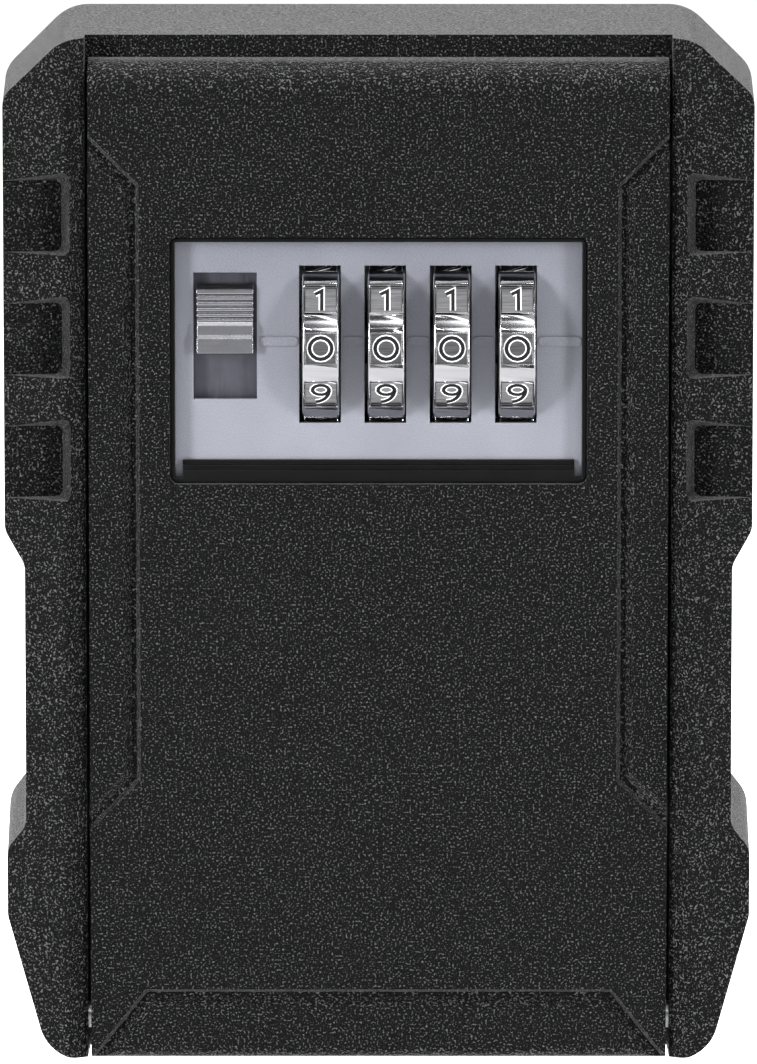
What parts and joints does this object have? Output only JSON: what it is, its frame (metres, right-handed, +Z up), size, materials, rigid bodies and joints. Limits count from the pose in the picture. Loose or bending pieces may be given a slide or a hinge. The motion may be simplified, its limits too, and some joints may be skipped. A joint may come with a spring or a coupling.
{
  "type": "key lock box",
  "caption": "Wall-mounted key lock box: black cast housing with side lobes, drop-down door, silver lock panel with digit dials and a sliding opening button.",
  "frame": {"origin": "centre of the four wall screws, on the plane of the wall", "axes": "+X right across the width, +Y into the wall (the door faces -Y), +Z up"},
  "size_m": [0.085, 0.0399, 0.116],
  "materials": {
    "black_powder_coat": "fine textured powder coat",
    "black_plastic": "satin",
    "silver_panel": "satin silver",
    "dial_chrome": "dark bright plating",
    "button_silver": "satin plating",
    "bolt_metal": "satin",
    "steel": "zinc plated",
    "spring_steel": "bright",
    "screw_steel": "nickel plated",
    "black_steel": "black oxide"
  },
  "bodies": {
    "root": {"housing": "black_powder_coat", "hinge_pin": "steel"},
    "door": {"door": "black_powder_coat", "window_bezel": "black_plastic", "lock_face": "silver_panel", "lock_face_screws": "screw_steel", "spindle": "steel", "spindle_clip": "spring_steel", "reset_spring": "spring_steel", "detent_spring": "spring_steel", "back_cover": "steel", "back_cover_screws": "screw_steel"},
    "slider": {"bolt_plate": "bolt_metal", "slider_button": "button_silver", "slider_spring": "spring_steel"},
    "lever": {"reset_lever": "steel"},
    "dial_1": {"dial_1": "dial_chrome"},
    "sleeve_1": {"sleeve_1": "black_steel"},
    "dial_2": {"dial_2": "dial_chrome"},
    "sleeve_2": {"sleeve_2": "black_steel"},
    "dial_3": {"dial_3": "dial_chrome"},
    "sleeve_3": {"sleeve_3": "black_steel"},
    "dial_4": {"dial_4": "dial_chrome"},
    "sleeve_4": {"sleeve_4": "black_steel"}
  },
  "joints": [
    {"name": "door_hinge", "type": "hinge", "parent": "root", "child": "door", "pos_m": [0, -0.033, -0.0525], "axis": [1, 0, 0], "range_deg": [0, 100]},
    {"name": "slider_travel", "type": "slide", "parent": "door", "child": "slider", "axis": [0, 0, -1], "range_m": [-0.0012, 0.002], "stiffness_N_per_m": 120, "springref_m": -0.0012, "deforming": ["slider_spring"]},
    {"name": "lever_travel", "type": "slide", "parent": "door", "child": "lever", "axis": [1, 0, 0], "range_m": [0, 0.0015], "stiffness_N_per_m": 150, "springref_m": -0.001},
    {"name": "dial_1_turn", "type": "hinge", "parent": "door", "child": "dial_1", "pos_m": [-0.00635, -0.0306, 0.02285], "axis": [1, 0, 0], "continuous": true},
    {"name": "sleeve_1_slide", "type": "slide", "parent": "dial_1", "child": "sleeve_1", "axis": [1, 0, 0], "range_m": [0, 0.0015]},
    {"name": "dial_2_turn", "type": "hinge", "parent": "door", "child": "dial_2", "pos_m": [0.00085, -0.0306, 0.02285], "axis": [1, 0, 0], "continuous": true},
    {"name": "sleeve_2_slide", "type": "slide", "parent": "dial_2", "child": "sleeve_2", "axis": [1, 0, 0], "range_m": [0, 0.0015]},
    {"name": "dial_3_turn", "type": "hinge", "parent": "door", "child": "dial_3", "pos_m": [0.00805, -0.0306, 0.02285], "axis": [1, 0, 0], "continuous": true},
    {"name": "sleeve_3_slide", "type": "slide", "parent": "dial_3", "child": "sleeve_3", "axis": [1, 0, 0], "range_m": [0, 0.0015]},
    {"name": "dial_4_turn", "type": "hinge", "parent": "door", "child": "dial_4", "pos_m": [0.01525, -0.0306, 0.02285], "axis": [1, 0, 0], "continuous": true},
    {"name": "sleeve_4_slide", "type": "slide", "parent": "dial_4", "child": "sleeve_4", "axis": [1, 0, 0], "range_m": [0, 0.0015]}
  ],
  "couplings": [
    {"joint": "sleeve_1_slide", "follows": "lever_travel", "ratio": 1},
    {"joint": "sleeve_2_slide", "follows": "lever_travel", "ratio": 1},
    {"joint": "sleeve_3_slide", "follows": "lever_travel", "ratio": 1},
    {"joint": "sleeve_4_slide", "follows": "lever_travel", "ratio": 1}
  ]
}
